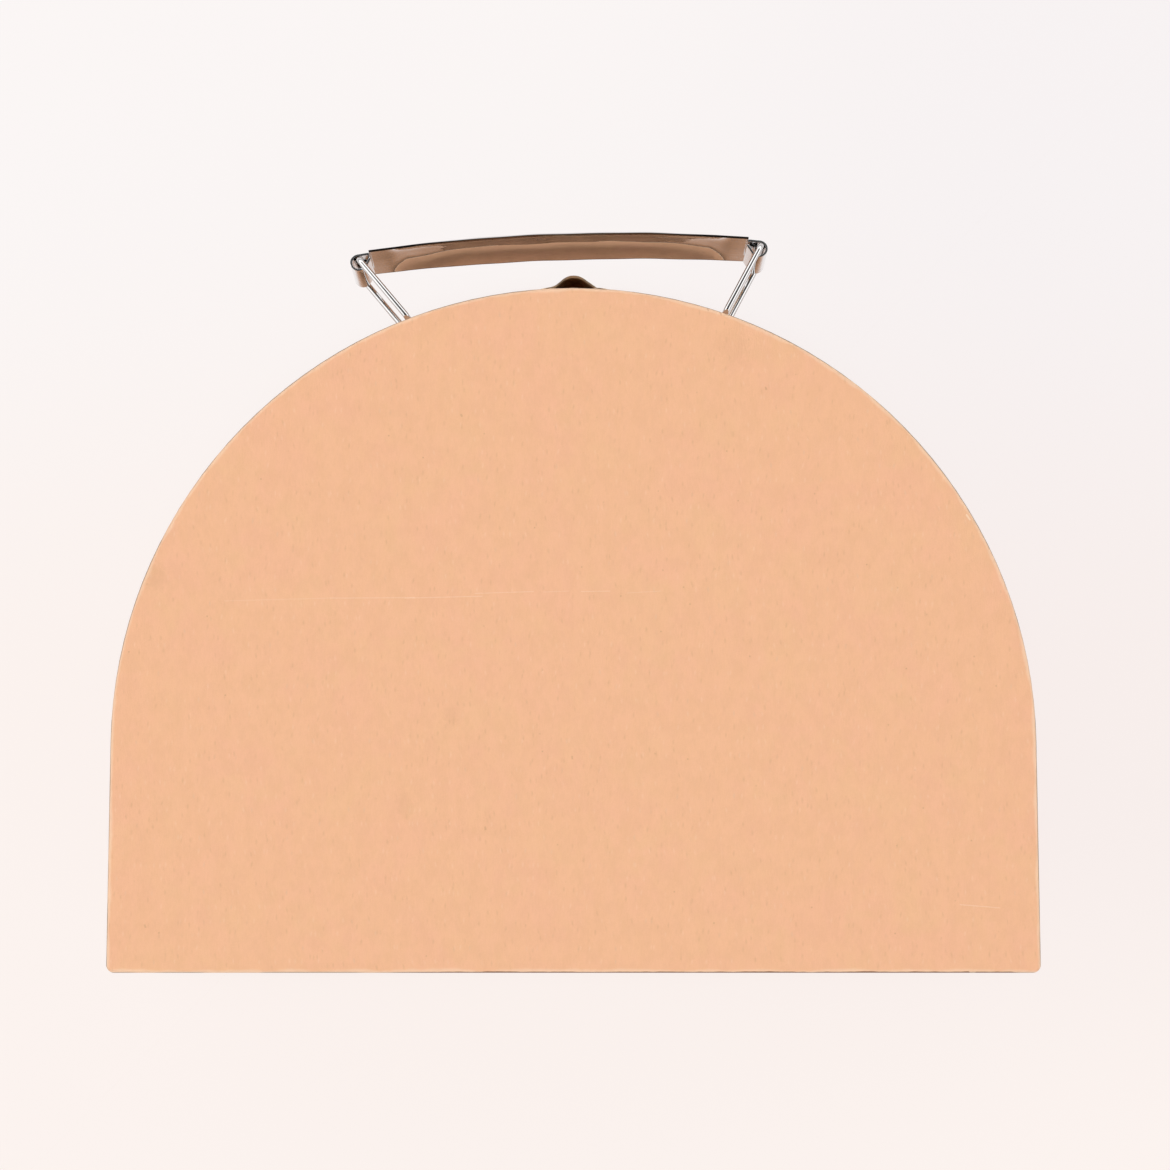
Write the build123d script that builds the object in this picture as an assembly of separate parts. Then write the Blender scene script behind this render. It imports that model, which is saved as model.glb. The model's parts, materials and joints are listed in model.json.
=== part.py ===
from build123d import *
from math import asin, atan2, cos, degrees, radians, sin, sqrt, tan
import os

# Toy suitcase of kraft board, lying on its back, in millimetres.
# The origin is the centre of the D outline on the surface that it rests on.
# X runs across the foot, Y runs from the foot to the handle, Z is the thickness of the case.
# Names that end in share or shares are parts of another size. Names that end in angle are degrees.

# Case of board
foot_width = 200.0
case_height = 146.5
case_depth = 80.0
tray_depth = 50.0
board = 2.0
flare_angle = 1.12
foot_corner_radius = 1.7
face_edge_radius = 0.7
rim_radius = 0.4

# Lining that stands in the tray and guides the lid
lining_board = 1.0
lining_gap = 0.5
lining_lip = 8.0

# Paper strip that hinges the lid along the foot
hinge_paper = 0.3
hinge_reach = 15.0
hinge_end_margin = 3.0

# Handle: two wire rings, a pressed grip and two straps
sheet = 0.5
wire_diameter = 1.4
handle_level_share = 0.72
sag_angle = 11.5
bracket_spacing = 71.84
bracket_shift = 1.66
bar_clearance = 0.3
ring_length = 18.1
ring_bend = 1.3
left_lean_angle = 39.5
bar_spacing = 91.8
right_eye_slack = 0.5
eye_bore = 3.0
eye_length = 14.0
leg_gap = 0.2
eye_wrap_angle = 60.0
eye_tip_length = 2.2
grip_width = 18.0
grip_rise = 1.9
grip_bulge = 3.4
grip_end_bulge = 1.2
grip_fade_length = 13.0
grip_end_gap = 2.4
tongue_bulge = 0.3
grip_station_shares = [-1.0, -0.91, -0.82, -0.7, 0.0, 0.7, 0.82, 0.91, 1.0]

# Straps that hold the rings
strap_width = 5.0
strap_half_bore = 1.2
strap_clearance = 0.15
strap_foot = 5.6
strap_rivet_share = 0.6

# Rivets
rivet_shank = 2.0
rivet_head = 3.6
rivet_crown = 0.8
rivet_clinch = 3.4
rivet_clinch_height = 0.6
clinch_face_share = 0.8
clinch_gap = 0.05

# Clasp
clasp_width = 15.0
clasp_drop_share = 1 / 6
clasp_pin_diameter = 1.1
pin_clearance = 0.05
knuckle_wall_gap = 0.05
knuckle_gap = 0.2
middle_knuckle = 6.0
clasp_plate_length = 11.5
clasp_plate_corner = 1.5
clasp_rivet_spacing = 9.6
clasp_rivet_inset = 3.2
hasp_length_share = 0.6
hasp_corner = 2.0
bead_width = 14.2
bead_flat = 4.4
bead_rise = 2.85
bead_first_rise = 0.05
bead_start_share = 0.2
bead_ramp_share = 0.19
bell_shoulder_share = 0.16
catch_start_share = 0.23
catch_end_share = 0.85
dome_level_share = 0.61
dome_base_share = 0.18
dome_top_share = 0.5
dome_height = 2.7
dome_shoulder_share = 0.75
catch_rivet_inset = 2.6

# Overrun for cuts that go right through
overrun = 1.0

# Sizes worked out from those above
flare = radians(flare_angle)
foot_half = foot_width / 2
arch_radius = (foot_half * cos(flare) - case_height * sin(flare)) / (1 - sin(flare))
foot_y = -case_height / 2
arch_y = case_height / 2 - arch_radius
lid_depth = case_depth - tray_depth
handle_level = tray_depth * handle_level_share
wall_inside = arch_radius - board
sag = radians(sag_angle)
wire_radius = wire_diameter / 2
eye_outer = eye_bore / 2 + sheet
eye_spacing = bar_spacing - right_eye_slack
body_half = eye_spacing / 2 - grip_end_gap
ring_width = eye_length + 2 * leg_gap + wire_diameter
bar_lift = ring_width / 2 * sin(sag) + wire_radius + bar_clearance
bar_reach = arch_radius + bar_lift
left_angle = -degrees(asin((bracket_spacing / 2 + bracket_shift) / bar_reach))
right_angle = degrees(asin((bracket_spacing / 2 - bracket_shift) / bar_reach))
strap_rise = bar_lift + wire_radius / cos(sag) + strap_width / 2 * tan(sag) + strap_clearance
pin_radius = clasp_pin_diameter / 2
knuckle_inner = pin_radius + pin_clearance
knuckle_outer = knuckle_inner + sheet
clasp_pin_y = arch_y + arch_radius + knuckle_wall_gap + knuckle_outer
clasp_pin_level = tray_depth - lid_depth * clasp_drop_share
hasp_length = lid_depth * hasp_length_share
bead_start = hasp_length * bead_start_share
bead_full = bead_start + hasp_length * bead_ramp_share
catch_start = lid_depth * catch_start_share
catch_end = lid_depth * catch_end_share
dome_level = hasp_length * dome_level_share
dome_base_radius = hasp_length * dome_base_share
dome_top_radius = dome_base_radius * dome_top_share


def d_outline(inset, corner):
    """The D of the case, drawn smaller all round by inset, with its foot corners rounded."""
    radius = arch_radius - inset
    side_x = radius * cos(flare)
    side_y = arch_y + radius * sin(flare)
    foot_line = foot_y + inset
    foot_x = (radius + (arch_y - foot_line) * sin(flare)) / cos(flare)
    arch = ThreePointArc((side_x, side_y), (0, arch_y + radius), (-side_x, side_y))
    left = Line((-side_x, side_y), (-foot_x, foot_line))
    foot = Line((-foot_x, foot_line), (foot_x, foot_line))
    right = Line((foot_x, foot_line), (side_x, side_y))
    outline = make_face([arch, left, foot, right])
    if corner > 0:
        corners = outline.vertices().sort_by(Axis.Y)[:2]
        outline = fillet(corners, corner)
    return outline


def d_slab(inset, corner, low, high):
    """A solid slab with the D outline between two levels."""
    return Pos(0, 0, low) * extrude(d_outline(inset, corner), high - low)


def box_between(x_low, x_high, y_low, y_high, z_low, z_high):
    size = (x_high - x_low, y_high - y_low, z_high - z_low)
    middle = ((x_low + x_high) / 2, (y_low + y_high) / 2, (z_low + z_high) / 2)
    return Pos(*middle) * Box(*size)


def wrapped_slab(low, high, end, radius):
    """A D slab whose wrap rounds one end, 0 for the lower and -1 for the upper."""
    slab = d_slab(0, foot_corner_radius, low, high)
    face = slab.faces().filter_by(Plane.XY).sort_by(Axis.Z)[end]
    return fillet(face.edges(), radius)


def foot_strip(low, high):
    """The room of the straight strip along the foot, between the inner faces of the two sides."""
    reach = foot_half + overrun
    return d_slab(board, 0, low, high).moved(Pos(0, -board, 0)) & box_between(
        -reach, reach, foot_y, foot_y + board, low, high
    )


def foot_wall(low, high, rim_end):
    return wrapped_slab(low, high, rim_end, rim_radius) & foot_strip(low, high)


def arch_wall(low, high, rim_end):
    """The strip that runs up one side, over the arch and down the other side."""
    ring = wrapped_slab(low, high, rim_end, rim_radius) - d_slab(board, 0, low, high)
    return ring - foot_strip(low, high)


def lining():
    """A D band of thin card that stands on the tray's panel and rises past the seam."""
    low = board
    high = tray_depth + lining_lip
    outer = board + lining_gap
    return d_slab(outer, 0, low, high) - d_slab(outer + lining_board, 0, low, high)


def paper_strip(low, high):
    """Half of the paper hinge, flat on the outside of one foot wall."""
    reach = foot_half - hinge_end_margin
    return box_between(-reach, reach, foot_y - hinge_paper, foot_y, low, high)


def arch_place(angle, level):
    """A place on the arch's outer face: local Z points out of the wall and local Y along +Z."""
    out = Vector(sin(radians(angle)), cos(radians(angle)), 0)
    along = Vector(cos(radians(angle)), -sin(radians(angle)), 0)
    spot = Vector(0, arch_y, level) + out * arch_radius
    return Plane(origin=spot, x_dir=along, z_dir=out)


def rivet_angle(offset):
    """How far round the arch a rivet at this sideways offset stands, in degrees."""
    return degrees(offset / arch_radius)


def rivet(plane, depth):
    """A rivet through the plate and the boards below it, with a dome outside and a clinch inside."""
    head_low = sheet
    tail = -depth - clinch_gap
    half_shank = rivet_shank / 2
    half_head = rivet_head / 2
    half_clinch = rivet_clinch / 2
    dome_radius = (half_head**2 + rivet_crown**2) / (2 * rivet_crown)
    dome_turn = atan2(half_head, dome_radius - rivet_crown) / 2
    dome_middle = head_low + rivet_crown - dome_radius
    dome = ThreePointArc(
        (half_head, head_low),
        (dome_radius * sin(dome_turn), dome_middle + dome_radius * cos(dome_turn)),
        (0, head_low + rivet_crown),
    )
    rest = Polyline(
        (0, head_low + rivet_crown),
        (0, tail - rivet_clinch_height),
        (half_clinch * clinch_face_share, tail - rivet_clinch_height),
        (half_clinch, tail - rivet_clinch_height / 2),
        (half_clinch, tail),
        (half_shank, tail),
        (half_shank, head_low),
        (half_head, head_low),
    )
    profile = Plane.XZ * make_face([dome, rest])
    return plane * revolve(profile, Axis.Z)


def rivet_hole(plane):
    reach = board + lining_gap + lining_board + overrun
    return plane * Pos(0, 0, -reach / 2 + sheet) * Cylinder(rivet_shank / 2, reach + 2 * sheet)


def arch_sheet(angle, half_width, low, high):
    """A sheet plate that hugs the arch, centred on one angle."""
    plane = arch_place(angle, (low + high) / 2)
    outer = Pos(0, arch_y, low) * extrude(Circle(arch_radius + sheet), high - low)
    inner = Pos(0, arch_y, low) * extrude(Circle(arch_radius), high - low)
    window = plane * Box(2 * half_width, high - low, 4 * sheet)
    return (outer - inner) & window


# Straps and rings

def strap(angle):
    """A strap bent over a ring's lower bar, with a riveted foot on each side."""
    low = handle_level - strap_width / 2
    high = handle_level + strap_width / 2
    plane = arch_place(angle, handle_level)
    outer_half = strap_half_bore + sheet
    feet = arch_sheet(angle, outer_half + strap_foot, low, high)
    shoulder = strap_rise - strap_half_bore
    outer = Rectangle(2 * outer_half, shoulder + board, align=(Align.CENTER, Align.MIN))
    inner = Rectangle(2 * strap_half_bore, shoulder + board, align=(Align.CENTER, Align.MIN))
    hump = Pos(0, -board) * outer + Pos(0, shoulder) * Circle(outer_half)
    bore = Pos(0, -board) * inner + Pos(0, shoulder) * Circle(strap_half_bore)
    # The profile is drawn with X along the wall and Y out of it, then turned to face along Z.
    side = Plane(origin=plane.origin, x_dir=plane.x_dir, z_dir=-plane.y_dir)
    solid = side * extrude(hump, strap_width / 2, both=True)
    hollow = side * extrude(bore, strap_width, both=True)
    inside = Pos(0, arch_y, low) * extrude(Circle(arch_radius), strap_width)
    return feet + (solid - inside) - hollow


def strap_rivet_angles(angle):
    middle = strap_half_bore + sheet + strap_foot * strap_rivet_share
    return [angle + side * rivet_angle(middle) for side in (-1, 1)]


def pivot(angle):
    """The centre of a ring's lower bar over the arch, in X and Y."""
    turn = radians(angle)
    return Vector(bar_reach * sin(turn), arch_y + bar_reach * cos(turn), 0)


def four_bar():
    """Where the handle's four pivots are in the tilted plane of the handle."""
    left = pivot(left_angle)
    right = pivot(right_angle)
    middle_y = (left.Y + right.Y) / 2
    plane = Plane(
        origin=(0, middle_y, handle_level),
        x_dir=(1, 0, 0),
        z_dir=(0, sin(sag), cos(sag)),
    )
    ground_left = Vector(left.X, (left.Y - middle_y) / cos(sag), 0)
    ground_right = Vector(right.X, (right.Y - middle_y) / cos(sag), 0)
    lean = radians(left_lean_angle)
    bar_left = ground_left + Vector(-sin(lean), cos(lean), 0) * ring_length
    # The right bar is where the grip's length and the right ring's length meet.
    span = ground_right - bar_left
    distance = span.length
    along = (distance**2 + bar_spacing**2 - ring_length**2) / (2 * distance)
    aside = sqrt(bar_spacing**2 - along**2)
    direction = span * (1 / distance)
    bar_right = bar_left + direction * along + Vector(-direction.Y, direction.X, 0) * aside
    return plane, ground_left, ground_right, bar_left, bar_right


handle_plane, ground_left, ground_right, bar_left, bar_right = four_bar()


def ring(ground, bar):
    """A closed wire ring: a bar in the strap, two legs and a bar in the grip's eye."""
    direction = (bar - ground).normalized()
    local = Plane(origin=ground, x_dir=direction, z_dir=direction.cross(Vector(0, 0, 1)))
    centre = Pos(ring_length / 2, 0)
    path = local * centre * RectangleRounded(ring_length, ring_width, ring_bend)
    loop = path.wires()[0]
    section = Plane(origin=loop @ 0, z_dir=loop % 0) * Circle(wire_radius)
    return handle_plane * sweep(section, path=loop)


def grip_frame():
    """The grip's own plane: X from the left eye to the right one, Y away from the case."""
    along = (bar_right - bar_left).normalized()
    middle = bar_left + along * (eye_spacing / 2)
    return handle_plane * Plane(origin=middle, x_dir=along, z_dir=(0, 0, 1))


def grip_rim(place):
    """How far the inner face of the rims stands from the eyes' axes, which arches the grip."""
    return eye_bore / 2 + grip_rise * (1 - (2 * place / eye_spacing) ** 2)


def grip_section(place, half_width, rim, bulge):
    """A crescent of sheet across the grip at one place along it."""
    top = rim + sheet
    inner = ThreePointArc((-half_width, rim), (0, rim + bulge), (half_width, rim))
    outer = ThreePointArc((half_width, top), (0, top + bulge), (-half_width, top))
    near = Line((half_width, rim), (half_width, top))
    far = Line((-half_width, top), (-half_width, rim))
    section = make_face([inner, near, outer, far])
    plane = Plane(origin=(place, 0, 0), x_dir=(0, 0, 1), z_dir=(-1, 0, 0))
    return plane * section


def grip_station(share):
    """The section of the grip's body, whose hollow grows shallow towards both ends."""
    place = share * body_half
    left = min(1.0, (body_half - abs(place)) / grip_fade_length)
    blend = left * left * (3 - 2 * left)
    bulge = grip_end_bulge + (grip_bulge - grip_end_bulge) * blend
    return grip_section(place, grip_width / 2, grip_rim(place), bulge)


def tongue(side):
    """The narrower strip that runs from one end of the body to its eye and grows flat."""
    half = eye_length / 2
    arc_radius = ((grip_width / 2) ** 2 + grip_end_bulge**2) / (2 * grip_end_bulge)
    root_bulge = arc_radius - sqrt(arc_radius**2 - half**2)
    root_rim = grip_rim(body_half) + grip_end_bulge - root_bulge
    root = grip_section(side * body_half, half, root_rim, root_bulge)
    tip = grip_section(side * eye_spacing / 2, half, eye_bore / 2, tongue_bulge)
    return loft([root, tip])


def rolled_eye(side):
    """The tongue at one end of the grip, rolled back under it around the ring."""
    middle = (eye_bore / 2 + eye_outer) / 2
    wrap = radians(eye_wrap_angle)
    top = (0, middle)
    out = (side * middle, 0)
    turn_end = (-side * middle * sin(wrap), -middle * cos(wrap))
    roll = ThreePointArc(top, out, turn_end)
    tip_end = (
        turn_end[0] - side * eye_tip_length * cos(wrap),
        turn_end[1] + eye_tip_length * sin(wrap),
    )
    path = Wire([roll, Line(turn_end, tip_end)])
    start = Plane(origin=top, x_dir=(0, 0, 1), z_dir=(side, 0, 0))
    section = start * Rectangle(eye_length, sheet)
    eye = sweep(section, path=path)
    return Pos(side * eye_spacing / 2, 0) * eye


def handle_grip():
    """The pressed grip: a domed strip that arches a little and ends in two rolled eyes."""
    body = loft([grip_station(share) for share in grip_station_shares])
    for side in (-1, 1):
        body += tongue(side) + rolled_eye(side)
    return grip_frame() * body


# Clasp


def clasp_frame():
    """The clasp's own plane on top of the arch: X across, Y away from the case, Z as the case's."""
    return Pos(0, clasp_pin_y, clasp_pin_level)


def knuckle(x_low, x_high):
    width = x_high - x_low
    tube = Cylinder(knuckle_outer, width) - Cylinder(knuckle_inner, width + 2 * overrun)
    return Pos((x_low + x_high) / 2, 0, 0) * Rot(0, 90, 0) * tube


def clasp_plate():
    """The plate riveted to the tray, with a knuckle at each side of its top edge."""
    low = clasp_pin_level - clasp_plate_length
    plate = arch_sheet(0, clasp_width / 2, low, clasp_pin_level)
    corners = plate.edges().filter_by(Axis.Y).group_by(Axis.Z)[0]
    plate = fillet(corners, clasp_plate_corner)
    notch_half = middle_knuckle / 2 + knuckle_gap
    notch_low = clasp_pin_level - knuckle_outer - knuckle_gap
    y_low = arch_y + wall_inside
    plate -= box_between(
        -notch_half, notch_half, y_low, clasp_pin_y, notch_low, clasp_pin_level + overrun
    )
    half = clasp_width / 2
    for x_low, x_high in ((-half, -notch_half), (notch_half, half)):
        plate += clasp_frame() * knuckle(x_low, x_high)
    plate -= clasp_frame() * Rot(0, 90, 0) * Cylinder(knuckle_inner, clasp_width + 2 * overrun)
    return plate


def clasp_pin():
    return clasp_frame() * Rot(0, 90, 0) * Cylinder(pin_radius, clasp_width)


def bead_section(rise):
    """The bell curve of the pressed bead."""
    width = bead_width
    flat = bead_flat
    foot_run = (width - flat) / 4
    points = [
        (-width / 2, 0),
        (-width / 2 + foot_run, rise * bell_shoulder_share),
        (-flat / 2, rise * (1 - bell_shoulder_share)),
        (0, rise),
        (flat / 2, rise * (1 - bell_shoulder_share)),
        (width / 2 - foot_run, rise * bell_shoulder_share),
        (width / 2, 0),
    ]
    return Spline(points, tangents=[(1, 0), (1, 0)])


def hasp_outline(rise, offset):
    """The hasp's section across X, with its bead at one rise over the flat sheet."""
    curve = bead_section(rise)
    half = clasp_width / 2
    left = Line((-half, 0), (-bead_width / 2, 0))
    right = Line((bead_width / 2, 0), (half, 0))
    path = [left, curve, right]
    lower = [edge.moved(Pos(0, offset)) for edge in path]
    upper = [edge.moved(Pos(0, offset + sheet)) for edge in path]
    ends = [
        Line((-half, offset), (-half, offset + sheet)),
        Line((half, offset), (half, offset + sheet)),
    ]
    return make_face(lower + upper + ends)


def clasp_hasp():
    """The swinging leaf: one knuckle round the pin and a plate with an open bead."""
    inner_y = -sheet / 2
    full = hasp_outline(bead_rise, inner_y)
    first = Pos(0, 0, bead_start) * hasp_outline(bead_first_rise, inner_y)
    ramp = loft([first, Pos(0, 0, bead_full) * full])
    beaded = ramp + Pos(0, 0, bead_full) * extrude(full, hasp_length - bead_full)
    root = box_between(
        -clasp_width / 2, clasp_width / 2, inner_y, inner_y + sheet, 0, bead_start
    )
    side_room = middle_knuckle / 2
    window_high = knuckle_outer + knuckle_gap
    for x_low, x_high in (
        (-clasp_width / 2 - overrun, -side_room),
        (side_room, clasp_width / 2 + overrun),
    ):
        root -= box_between(x_low, x_high, -sheet, sheet, -overrun, window_high)
    leaf = beaded + root + knuckle(-side_room, side_room)
    leaf -= Rot(0, 90, 0) * Cylinder(knuckle_inner, middle_knuckle + overrun)
    outline = RectangleRounded(clasp_width, 2 * hasp_length, hasp_corner)
    leaf &= Rot(90, 0, 0) * extrude(outline, hasp_length, both=True)
    return clasp_frame() * leaf


def clasp_catch():
    """The plate riveted to the lid, with the pressed dome that the hasp's bead goes over."""
    low = clasp_pin_level + catch_start
    plate = arch_sheet(0, clasp_width / 2, low, clasp_pin_level + catch_end)
    corners = plate.edges().filter_by(Axis.Y)
    plate = fillet(corners, clasp_plate_corner)
    top = arch_y + arch_radius
    height = dome_height
    profile = make_face(
        [
            Spline(
                (dome_base_radius, 0),
                (dome_top_radius, height * dome_shoulder_share),
                (0, height),
                tangents=[(-1, 1), (-1, 0)],
            ),
            Line((0, height), (0, 0)),
            Line((0, 0), (dome_base_radius, 0)),
        ]
    )
    solid = revolve(Plane.XZ * profile, Axis.Z)
    place = Plane(
        origin=(0, top, clasp_pin_level + dome_level), x_dir=(1, 0, 0), z_dir=(0, 1, 0)
    )
    return plate + place * solid


def main():
    os.makedirs("parts", exist_ok=True)
    nodes = {}
    seam = tray_depth
    lid_face = case_depth - board

    tray_holes = []
    for side, angle in (("left", left_angle), ("right", right_angle)):
        nodes[f"bracket_{side}"] = strap(angle)
        for end, spot in zip(("outer", "inner"), strap_rivet_angles(angle)):
            plane = arch_place(spot, handle_level)
            tray_holes.append(rivet_hole(plane))
            depth = board + lining_gap + lining_board
            nodes[f"bracket_{side}_rivet_{end}"] = rivet(plane, depth)
            nodes[f"bracket_{side}"] -= rivet_hole(plane)

    nodes["clasp_plate"] = clasp_plate()
    nodes["clasp_catch"] = clasp_catch()
    lid_holes = []
    for side, sign in (("left", -1), ("right", 1)):
        spot = sign * rivet_angle(clasp_rivet_spacing / 2)
        plane = arch_place(spot, clasp_pin_level - clasp_plate_length + clasp_rivet_inset)
        tray_holes.append(rivet_hole(plane))
        nodes["clasp_plate"] -= rivet_hole(plane)
        nodes[f"clasp_rivet_{side}"] = rivet(plane, board + lining_gap + lining_board)
        high = clasp_pin_level + catch_end - catch_rivet_inset
        plane = arch_place(spot, high)
        lid_holes.append(rivet_hole(plane))
        nodes["clasp_catch"] -= rivet_hole(plane)
        nodes[f"catch_rivet_{side}"] = rivet(plane, board)

    nodes["base_panel"] = wrapped_slab(0, board, 0, face_edge_radius)
    nodes["base_wall"] = arch_wall(board, seam, -1) - tray_holes
    nodes["base_foot"] = foot_wall(board, seam, -1)
    nodes["base_lining"] = lining() - tray_holes
    nodes["lid_panel"] = wrapped_slab(lid_face, case_depth, -1, face_edge_radius)
    nodes["lid_wall"] = arch_wall(seam, lid_face, 0) - lid_holes
    nodes["lid_foot"] = foot_wall(seam, lid_face, 0)
    nodes["hinge_paper_base"] = paper_strip(seam - hinge_reach, seam)
    nodes["hinge_paper_lid"] = paper_strip(seam, seam + hinge_reach)
    nodes["ring_left"] = ring(ground_left, bar_left)
    nodes["ring_right"] = ring(ground_right, bar_right)
    nodes["handle_grip"] = handle_grip()
    nodes["clasp_pin"] = clasp_pin()
    nodes["clasp_hasp"] = clasp_hasp()

    for node, solid in nodes.items():
        export_step(solid, f"parts/{node}.step")


main()
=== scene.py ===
import json
import math

import bmesh
import bpy
from bpy.props import FloatProperty, FloatVectorProperty, IntProperty, PointerProperty
from mathutils import Matrix, Vector

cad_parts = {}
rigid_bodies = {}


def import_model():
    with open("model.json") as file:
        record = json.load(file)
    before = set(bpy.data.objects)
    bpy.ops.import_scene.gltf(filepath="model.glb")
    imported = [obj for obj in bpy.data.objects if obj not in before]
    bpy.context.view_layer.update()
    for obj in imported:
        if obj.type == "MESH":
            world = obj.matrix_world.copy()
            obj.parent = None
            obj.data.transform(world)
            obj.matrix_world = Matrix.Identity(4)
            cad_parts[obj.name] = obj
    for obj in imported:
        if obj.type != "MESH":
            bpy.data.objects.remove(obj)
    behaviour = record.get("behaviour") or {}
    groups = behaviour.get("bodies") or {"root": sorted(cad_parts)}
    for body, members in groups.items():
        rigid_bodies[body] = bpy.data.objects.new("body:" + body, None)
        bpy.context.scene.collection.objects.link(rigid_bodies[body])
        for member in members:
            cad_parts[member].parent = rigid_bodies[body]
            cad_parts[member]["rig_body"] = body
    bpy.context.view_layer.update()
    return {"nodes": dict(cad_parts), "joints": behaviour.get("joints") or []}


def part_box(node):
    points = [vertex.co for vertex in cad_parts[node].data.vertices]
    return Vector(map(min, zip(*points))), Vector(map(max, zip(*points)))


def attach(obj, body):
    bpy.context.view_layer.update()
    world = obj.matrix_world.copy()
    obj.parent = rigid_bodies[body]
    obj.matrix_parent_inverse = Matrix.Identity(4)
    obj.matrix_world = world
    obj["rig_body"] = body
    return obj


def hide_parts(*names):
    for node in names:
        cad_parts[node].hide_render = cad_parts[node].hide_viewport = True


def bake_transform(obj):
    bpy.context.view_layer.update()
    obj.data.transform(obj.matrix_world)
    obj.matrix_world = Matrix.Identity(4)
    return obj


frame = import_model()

bl_info = {
    "name": "Kraft Suitcase Box",
    "version": (1, 0, 0),
    "blender": (4, 5, 0),
    "location": "View3D > Sidebar > Suitcase",
    "description": "Dresses a half-round toy suitcase of kraft board around its packed frame",
    "category": "Object",
}

MM = 0.001
JOINTS = {joint["name"]: joint for joint in frame["joints"]}
FACE_LOW, FACE_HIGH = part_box("lid_panel")
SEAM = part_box("base_wall")[1].z
HASP_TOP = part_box("clasp_hasp")[1].z
LINING_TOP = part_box("base_lining")[1].z
BOARD = FACE_HIGH.z - FACE_LOW.z

# The case's outline: how far its sides lean in, and how much its rounded corners narrow half the foot.
FLARE = math.radians(1.12)
CORNER_LOSS = 0.034 * MM

# Where the CAD's mesh counts as flat, and where its edges are rounded or stay sharp in the shading.
FLAT_ANGLE = math.radians(0.4)
SHARP_ANGLE = math.radians(40)
SMOOTH_ANGLE = math.radians(35)

# The mesh of the grip's blank, counted from its middle: columns of the body and of a tongue, and rows.
BODY_COLUMNS = 75
TONGUE_COLUMNS = 44
BODY_ROWS = 18
TONGUE_ROWS = 10

# Marks on the lid's face, in millimetres: start, end, half width, strength.
LIGHT_MARKS = [
    ((-74.5, 6.3), (-52.0, 6.9), 0.12, 0.12),
    ((-52.0, 6.9), (-34.0, 7.0), 0.12, 0.20),
    ((-36.0, 6.9), (-19.5, 7.3), 0.10, 0.24),
    ((-21.0, 7.9), (-8.6, 8.3), 0.09, 0.24),
    ((-6.4, 8.2), (-1.0, 8.4), 0.08, 0.18),
    ((1.6, 8.3), (7.8, 8.4), 0.09, 0.24),
    ((11.5, 8.0), (18.6, 8.4), 0.08, 0.18),
    ((82.6, -58.6), (91.1, -59.3), 0.12, 0.25),
    ((84.0, 24.7), (84.7, 23.7), 0.20, 0.55),
]
DARK_MARKS = [
    ((28.4, 69.4), (28.8, 68.4), 0.18, 0.45),
    ((31.2, 68.2), (31.6, 67.4), 0.16, 0.45),
    ((41.1, 51.9), (41.2, 51.6), 0.22, 0.55),
    ((-24.0, 46.1), (-23.9, 45.8), 0.20, 0.45),
    ((-0.3, -27.0), (-0.2, -27.4), 0.20, 0.45),
    ((-18.9, -42.1), (-18.8, -42.5), 0.20, 0.45),
    ((-91.6, -63.1), (-91.5, -63.4), 0.22, 0.45),
]
STAINS = [
    ((34.0, 60.6), (34.6, 59.8), 3.0, 0.12),
    ((-89.4, 12.4), (-89.2, 10.6), 2.0, 0.16),
    ((-36.2, -36.4), (-35.8, -38.2), 1.7, 0.12),
    ((-26.4, -17.6), (-26.2, -18.8), 1.5, 0.10),
]

# The dark line along the foot, as places on X in millimetres: start, full depth, last full depth, end, gap.
DARK_FOOT_LINE = (-52.0, -20.0, 93.0, 96.5, 85.3)

# The hasp's bead against a plain bell, in millimetres: distance from its middle, offset.
HASP_BELL = [
    (0.0, 0.0), (1.0, -0.04), (2.2, -0.22), (3.0, -0.34), (4.0, -0.20),
    (4.7, 0.02), (5.6, 0.12), (6.6, 0.08), (7.5, 0.0),
]

# Shares of the leaf's height where this offset begins and is whole, and what the free end adds to it.
BEAD_START = 0.15
BEAD_WHOLE = 0.4
FREE_END_LIFT = 0.2

# The soft dome of light from the horizon up to the zenith: share of the way, brightness.
SKY_STOPS = [
    (0.0, 0.38), (0.16, 0.45), (0.28, 1.75), (0.68, 1.90), (0.73, 1.70), (0.79, 0.12), (1.0, 0.06),
]


# Sizes and colours that a user would change


def length_setting(name, description, size):
    """A length, given in millimetres."""
    return FloatProperty(
        name=name, description=description, default=size * MM, subtype="DISTANCE", unit="LENGTH", min=0,
        precision=5,
    )


def colour_setting(name, description, default):
    return FloatVectorProperty(
        name=name, description=description, default=default, subtype="COLOR", min=0, max=1
    )


class SuitcaseBoard(bpy.types.PropertyGroup):
    """Kraft paper over grey board."""

    paper: colour_setting("Paper", "Main colour of the kraft paper", (0.848, 0.474, 0.283))
    paper_pink: colour_setting("Pink blotches", "Colour of the pinker blotches", (0.854, 0.467, 0.289))
    paper_yellow: colour_setting("Yellow blotches", "Colour of the yellower blotches", (0.841, 0.481, 0.280))
    fibre: colour_setting("Fibres", "Colour of the dark fibres and specks", (0.52, 0.27, 0.15))
    # Also the colour of the painted highlight round the face's edge.
    worn_and_highlight: colour_setting("Worn edge", "Colour where the paper is rubbed light", (0.97, 0.76, 0.56))
    dark_foot_line: colour_setting("Torn edge", "Colour of the dark line along the foot", (0.22, 0.10, 0.05))
    # Painted shade along the outermost edge of the face.
    edge_shade: colour_setting("Wrap edge", "Colour of the wrap's cut edge", (0.26, 0.18, 0.13))
    card: colour_setting("Lining card", "Colour of the card that lines the tray", (0.80, 0.49, 0.31))


class SuitcaseHinge(bpy.types.PropertyGroup):
    """The strip of paper along the foot."""

    fold: length_setting("Fold", "Height of the soft part of the strip on each side of the seam", 1.6)
    rows: IntProperty(name="Rows", description="Rows of faces up the strip", default=60, min=20, max=200)


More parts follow.
